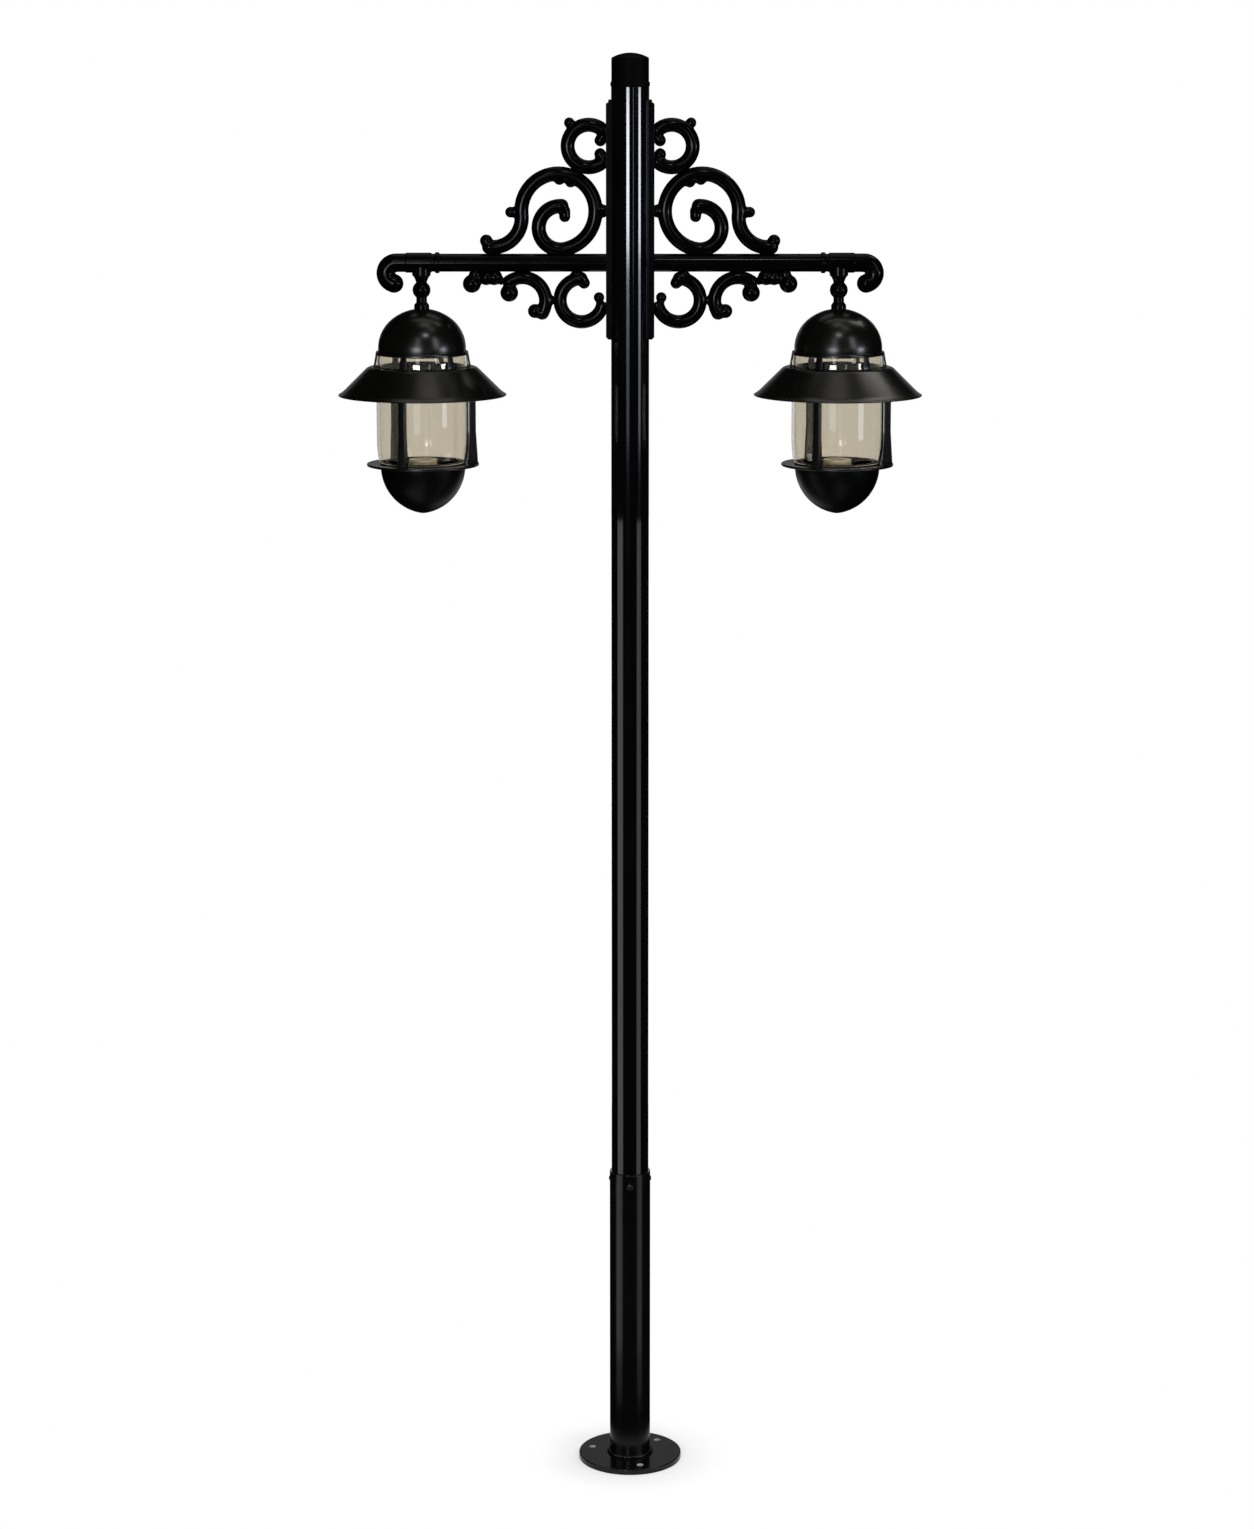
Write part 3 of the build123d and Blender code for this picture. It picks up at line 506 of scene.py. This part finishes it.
def turnHolder(side, look):
    low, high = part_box(side + "_lampholder")
    axisX = (low[0] + high[0]) / 2
    foot, top = low[2] / mm, high[2] / mm
    taperTop = top - look["rimHeightMm"]
    outline = [
        (0, foot),
        (look["bodyMm"], foot),
        (look["bodyMm"], taperTop - look["taperMm"]),
        (look["rimMm"], taperTop),
        (look["rimMm"], top),
        (look["pocketMm"], top),
        (look["pocketMm"], top - look["pocketDeepMm"]),
        (look["contactMm"], top - look["pocketDeepMm"]),
        (look["contactMm"], top - look["contactDeepMm"]),
        (0, top - look["contactDeepMm"])]
    piece = drawLine(side + "GlazedHolder", [(axisX / mm + x, z) for x, z in outline])
    bpy.ops.mesh.bevel(offset=look["roundMm"] * mm, segments=look["roundSteps"], affect="VERTICES")
    spinLine(piece, axisX, look["turnSteps"], look["cornerAngle"])
    dress(piece, side + "_bowl_unit", "porcelain", side + "_lampholder")


for side in sides:
    turnHolder(side, holderPiece)
print("lampholders turned")

# Screw shell: thin brass with the lamp thread rolled into it
shellPiece = {"crestMm": 14.4, "rootMm": 13.7, "pitchMm": 3.63, "sheetMm": 0.35, "waveSteps": 10,
              "turnSteps": 64, "spareTurns": 2, "cornerAngle": 50}


def rollShell(side, look):
    low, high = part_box(side + "_screw_shell")
    axisX = (low[0] + high[0]) / 2
    middle, swing = (look["crestMm"] + look["rootMm"]) / 2, (look["crestMm"] - look["rootMm"]) / 2
    pitch, count = look["pitchMm"], look["waveSteps"]
    start = low[2] / mm - pitch
    wave = [(middle + swing * math.cos(2 * math.pi * i / count), start + pitch * i / count)
            for i in range(count + 1)]
    piece = drawLine(side + "RolledShell", wave)
    bpy.ops.object.mode_set(mode="OBJECT")
    turns = math.ceil((high[2] - low[2]) / mm / pitch) + look["spareTurns"]
    addModifier(piece, "SCREW", axis="Z", angle=2 * math.pi, screw_offset=pitch * mm, iterations=turns,
                steps=look["turnSteps"], render_steps=look["turnSteps"], use_merge_vertices=True,
                merge_threshold=mergeGaps["thread"] * mm)
    cleanMesh(piece, mergeGaps["thread"])
    bpy.ops.object.mode_set(mode="EDIT")
    # the spare turns are cut off level at both ends
    for height, clearInner in ((low[2], True), (high[2], False)):
        bpy.ops.mesh.select_all(action="SELECT")
        bpy.ops.mesh.bisect(plane_co=(0, 0, height), plane_no=(0, 0, 1), clear_inner=clearInner,
                            clear_outer=not clearInner)
    bpy.ops.mesh.select_all(action="SELECT")
    bpy.ops.transform.translate(value=(axisX, 0, 0))
    bpy.ops.object.mode_set(mode="OBJECT")
    addModifier(piece, "SOLIDIFY", thickness=look["sheetMm"] * mm, offset=0)
    bpy.ops.object.shade_smooth_by_angle(angle=math.radians(look["cornerAngle"]))
    dress(piece, side + "_bowl_unit", "brass", side + "_screw_shell")


for side in sides:
    rollShell(side, shellPiece)
print("screw shells rolled")

# Weld round the socket's foot: a bead laid in overlapping ripples
weldPiece = {"ringMm": 36.7, "beadMm": 2.8, "riseMm": 10.6, "ripples": 72, "rippleMm": 0.35,
             "rippleSections": 4, "swells": (1.0, 0.6), "roundSteps": 16}


def layWeld(look):
    sections = look["rippleSections"]
    around = sections * look["ripples"]
    bpy.ops.object.select_all(action="DESELECT")
    bpy.ops.mesh.primitive_torus_add(location=(0, 0, look["riseMm"] * mm), major_radius=look["ringMm"] * mm,
                                     minor_radius=look["beadMm"] * mm, major_segments=around,
                                     minor_segments=look["roundSteps"])
    piece = bpy.context.object
    piece.name = "weldBead"
    bpy.ops.object.transform_apply(location=True, rotation=True, scale=True)
    # the first section of each ripple swells, and the one behind it less
    for lag, share in enumerate(look["swells"]):
        for vertex in piece.data.vertices:
            turn = math.atan2(vertex.co.y, vertex.co.x) / (2 * math.pi) * around
            vertex.select = round(turn) % sections == lag
        for line in piece.data.edges:
            line.select = False
        for face in piece.data.polygons:
            face.select = False
        bpy.ops.object.mode_set(mode="EDIT")
        bpy.ops.mesh.select_mode(type="VERT")
        bpy.ops.transform.shrink_fatten(value=look["rippleMm"] * share * mm)
        bpy.ops.object.mode_set(mode="OBJECT")
    bpy.ops.object.shade_smooth()
    dress(piece, "base", "base_coat")


layWeld(weldPiece)
print("weld laid")

# Stage

# a pale floor that fades into the backdrop and keeps the shadow at the post's foot
floorSetup = {"radius": 0.7, "sides": 96, "fadeFrom": 0.09, "fadeTo": 0.18, "colour": "#FFFFFF", "glow": 1.0,
              "lift": 0.4}


def buildFloor(look):
    bpy.ops.mesh.primitive_circle_add(vertices=look["sides"], radius=look["radius"], fill_type="NGON",
                                      location=(0, 0, 0))
    floor = bpy.context.object
    floor.name = "paleFloor"
    material, tree, output, place = newMaterial("paleFloor")
    reach = addNode(tree, "ShaderNodeVectorMath", {"operation": "LENGTH"}, {0: place})
    fade = addNode(tree, "ShaderNodeMapRange",
                   {"interpolation_type": "SMOOTHSTEP", "From Min": look["fadeFrom"],
                    "From Max": look["fadeTo"]},
                   {"Value": reach.outputs["Value"]})
    matt = addNode(tree, "ShaderNodeBsdfDiffuse", {"Color": linear(look["colour"])})
    glow = addNode(tree, "ShaderNodeEmission", {"Color": linear(look["colour"]), "Strength": look["glow"]})
    path = addNode(tree, "ShaderNodeLightPath")
    share = addNode(tree, "ShaderNodeMath", {"operation": "MULTIPLY", 1: look["lift"]},
                    {0: path.outputs["Is Camera Ray"]})
    lit = addNode(tree, "ShaderNodeMixShader", None,
                  {0: share.outputs["Value"], 1: matt.outputs["BSDF"], 2: glow.outputs["Emission"]})
    clear = addNode(tree, "ShaderNodeBsdfTransparent")
    mix = addNode(tree, "ShaderNodeMixShader", None,
                  {0: fade.outputs["Result"], 1: lit.outputs["Shader"], 2: clear.outputs["BSDF"]})
    tree.links.new(mix.outputs["Shader"], output.inputs["Surface"])
    floor.data.materials.append(material)


# white where it is seen, directly or in gloss and glass, and dimmer as light on matt surfaces
worldSetup = {"colour": "#FFFFFF", "backdrop": 1.0, "ambient": 0.6}


def buildWorld(look):
    world = bpy.data.worlds.new("whiteRoom")
    world.use_nodes = True
    tree = world.node_tree
    tree.nodes.clear()
    path = addNode(tree, "ShaderNodeLightPath")
    seen = addNode(tree, "ShaderNodeMath", {"operation": "MAXIMUM"},
                   {0: path.outputs["Is Camera Ray"], 1: path.outputs["Is Transmission Ray"]})
    shown = addNode(tree, "ShaderNodeMath", {"operation": "MAXIMUM"},
                    {0: seen.outputs["Value"], 1: path.outputs["Is Glossy Ray"]})
    strength = addNode(tree, "ShaderNodeMix",
                       {"data_type": "FLOAT", numberA: look["ambient"], numberB: look["backdrop"]},
                       {"Factor": shown.outputs["Value"]})
    light = addNode(tree, "ShaderNodeBackground", {"Color": linear(look["colour"])},
                    {"Strength": strength.outputs[numberOut]})
    output = addNode(tree, "ShaderNodeOutputWorld")
    tree.links.new(light.outputs["Background"], output.inputs["Surface"])
    scene.world = world


# Black flags all round, as a photographer hangs them to keep gloss black deep on a white ground
flagSetup = {"radius": 8.6, "sides": 64, "foot": -0.05, "top": 8.0, "colour": "#141414"}


def hangFlags(look):
    height = look["top"] - look["foot"]
    bpy.ops.mesh.primitive_cylinder_add(vertices=look["sides"], radius=look["radius"], depth=height,
                                        location=(0, 0, look["foot"] + height / 2))
    flags = bpy.context.object
    flags.name = "blackFlags"
    material, tree, output = newMaterial("flagCloth")[:3]
    cloth = addNode(tree, "ShaderNodeBsdfDiffuse", {"Color": linear(look["colour"])})
    tree.links.new(cloth.outputs["BSDF"], output.inputs["Surface"])
    flags.data.materials.append(material)
    flags.visible_camera = False
    flags.visible_diffuse = False
    flags.visible_transmission = False
    flags.visible_shadow = False


# Soft boxes: place, aim and size in metres, and brightness as it is seen, where 1 is white
softBoxes = {
    "leftStrip": {"at": (-1.78, -7.28, 2.00), "aim": (0, 0, 2.00), "size": (2.2, 0.65), "bright": 26,
                  "colour": "#EDF4FF"},
    "leftStripLow": {"at": (-1.78, -7.28, 1.50), "aim": (0, 0, 1.50), "size": (2.2, 0.36), "bright": 2.6,
                     "colour": "#C4DAF2"},
    "leftStripFoot": {"at": (-1.78, -7.28, 1.14), "aim": (0, 0, 1.14), "size": (2.2, 0.36), "bright": 1.6,
                      "colour": "#D4E2F2"},
    "rightStrip": {"at": (6.43, -3.86, 2.00), "aim": (0, 0, 2.00), "size": (1.9, 0.65), "bright": 21,
                   "colour": "#EDF2FF"},
    "rightStripLow": {"at": (6.43, -3.86, 1.50), "aim": (0, 0, 1.50), "size": (1.9, 0.36), "bright": 6.0,
                      "colour": "#CADCF4"},
    "rightStripFoot": {"at": (6.43, -3.86, 1.14), "aim": (0, 0, 1.14), "size": (1.9, 0.36), "bright": 3.2,
                       "colour": "#D4E2F2"},
    "middleStrip": {"at": (2.44, -7.10, 1.98), "aim": (0, 0, 1.98), "size": (0.55, 0.75), "bright": 2.4,
                    "colour": "#F4ECF6"},
    "leftPanel": {"at": (-0.397, -0.211, 0.82), "aim": (0, 0, 0.82), "size": (0.30, 1.56), "bright": 1.4,
                  "colour": "#FFFFFF", "polishOnly": True},
    "leftPanelFoot": {"at": (-0.397, -0.211, -0.28), "aim": (0, 0, -0.28), "size": (0.30, 0.64),
                      "bright": 0.5, "colour": "#FFFFFF", "polishOnly": True},
    "rightPanel": {"at": (0.364, -0.264, 0.82), "aim": (0, 0, 0.82), "size": (0.22, 1.56), "bright": 1.1,
                   "colour": "#FFFFFF", "polishOnly": True},
    "rightPanelFoot": {"at": (0.364, -0.264, -0.28), "aim": (0, 0, -0.28), "size": (0.22, 0.64),
                       "bright": 0.5, "colour": "#FFFFFF", "polishOnly": True},
    "backPanel": {"at": (0, 3.9, 1.7), "aim": (0, 0, 1.0), "size": (4.0, 2.4), "bright": 0.26,
                  "colour": "#FFFFFF"},
    "ceiling": {"at": (0.2, -0.5, 7.0), "aim": (0, 0, 1.9), "size": (1.7, 1.4), "bright": 1.1,
                "colour": "#FFFCF4"},
    "ceilingRight": {"at": (3.1, 1.9, 7.0), "aim": (0, 0, 1.9), "size": (1.8, 2.6), "bright": 2.6,
                     "colour": "#FFFCF4"},
    "topLamp": {"at": (0.25, -2.2, 4.3), "aim": (0, 0, 1.9), "size": (0.30, 0.30), "bright": 28,
                "colour": "#FFFFFF"},
    "highLeft": {"at": (-1.42, -7.36, 5.0), "aim": (0, 0, 5.0), "size": (1.15, 5.0), "bright": 2.6,
                 "colour": "#FFFDF8"},
    "highRight": {"at": (4.82, -5.75, 5.0), "aim": (0, 0, 5.0), "size": (1.4, 5.0), "bright": 3.6,
                  "colour": "#FFFDF8"},
    "ceilingFront": {"at": (1.64, -1.64, 7.0), "aim": (0, 0, 1.9), "size": (1.6, 1.6), "bright": 0.8,
                     "colour": "#FFFCF4"},
    "ceilingBack": {"at": (0, 2.2, 7.0), "aim": (0, 0, 1.9), "size": (3.4, 2.8), "bright": 0.9,
                    "colour": "#FFFCF4"},
    "backCard": {"at": (0, 0.45, 1.05), "aim": (0, 0, 1.05), "size": (0.30, 1.10), "bright": 1.2,
                 "colour": "#FFFFFF", "polishOnly": True},
}


def addSoftBox(name, look):
    bpy.ops.object.light_add(type="AREA", location=look["at"])
    lamp = bpy.context.object
    lamp.name = name
    lamp.data.shape = "RECTANGLE"
    lamp.data.size, lamp.data.size_y = look["size"]
    lamp.data.color = linear(look["colour"])[:3]
    lamp.data.energy = look["bright"] * math.pi * look["size"][0] * look["size"][1]
    towards = Vector(look["aim"]) - Vector(look["at"])
    lamp.rotation_euler = towards.to_track_quat("-Z", "Y").to_euler()
    lamp.visible_camera = False
    # the cards beside and behind the pole show in polish and light nothing matt
    lamp.visible_diffuse = not look.get("polishOnly", False)


# The photograph looks slightly down on the lanterns and more on the base
cameraSetup = {"at": (0, -6.0, 2.45), "pitch": 9.004, "yaw": 0.05, "lens": 84.62, "sensor": 36,
               "shiftUp": -0.1}


def placeCamera(look):
    turn = (math.radians(90 - look["pitch"]), 0, math.radians(look["yaw"]))
    bpy.ops.object.camera_add(location=look["at"], rotation=turn)
    camera = bpy.context.object
    camera.data.lens = look["lens"]
    camera.data.sensor_width = look["sensor"]
    camera.data.shift_y = look["shiftUp"]
    scene.camera = camera


buildFloor(floorSetup)
buildWorld(worldSetup)
hangFlags(flagSetup)
for name, look in softBoxes.items():
    addSoftBox(name, look)
placeCamera(cameraSetup)
print("stage, lamps and camera in place")
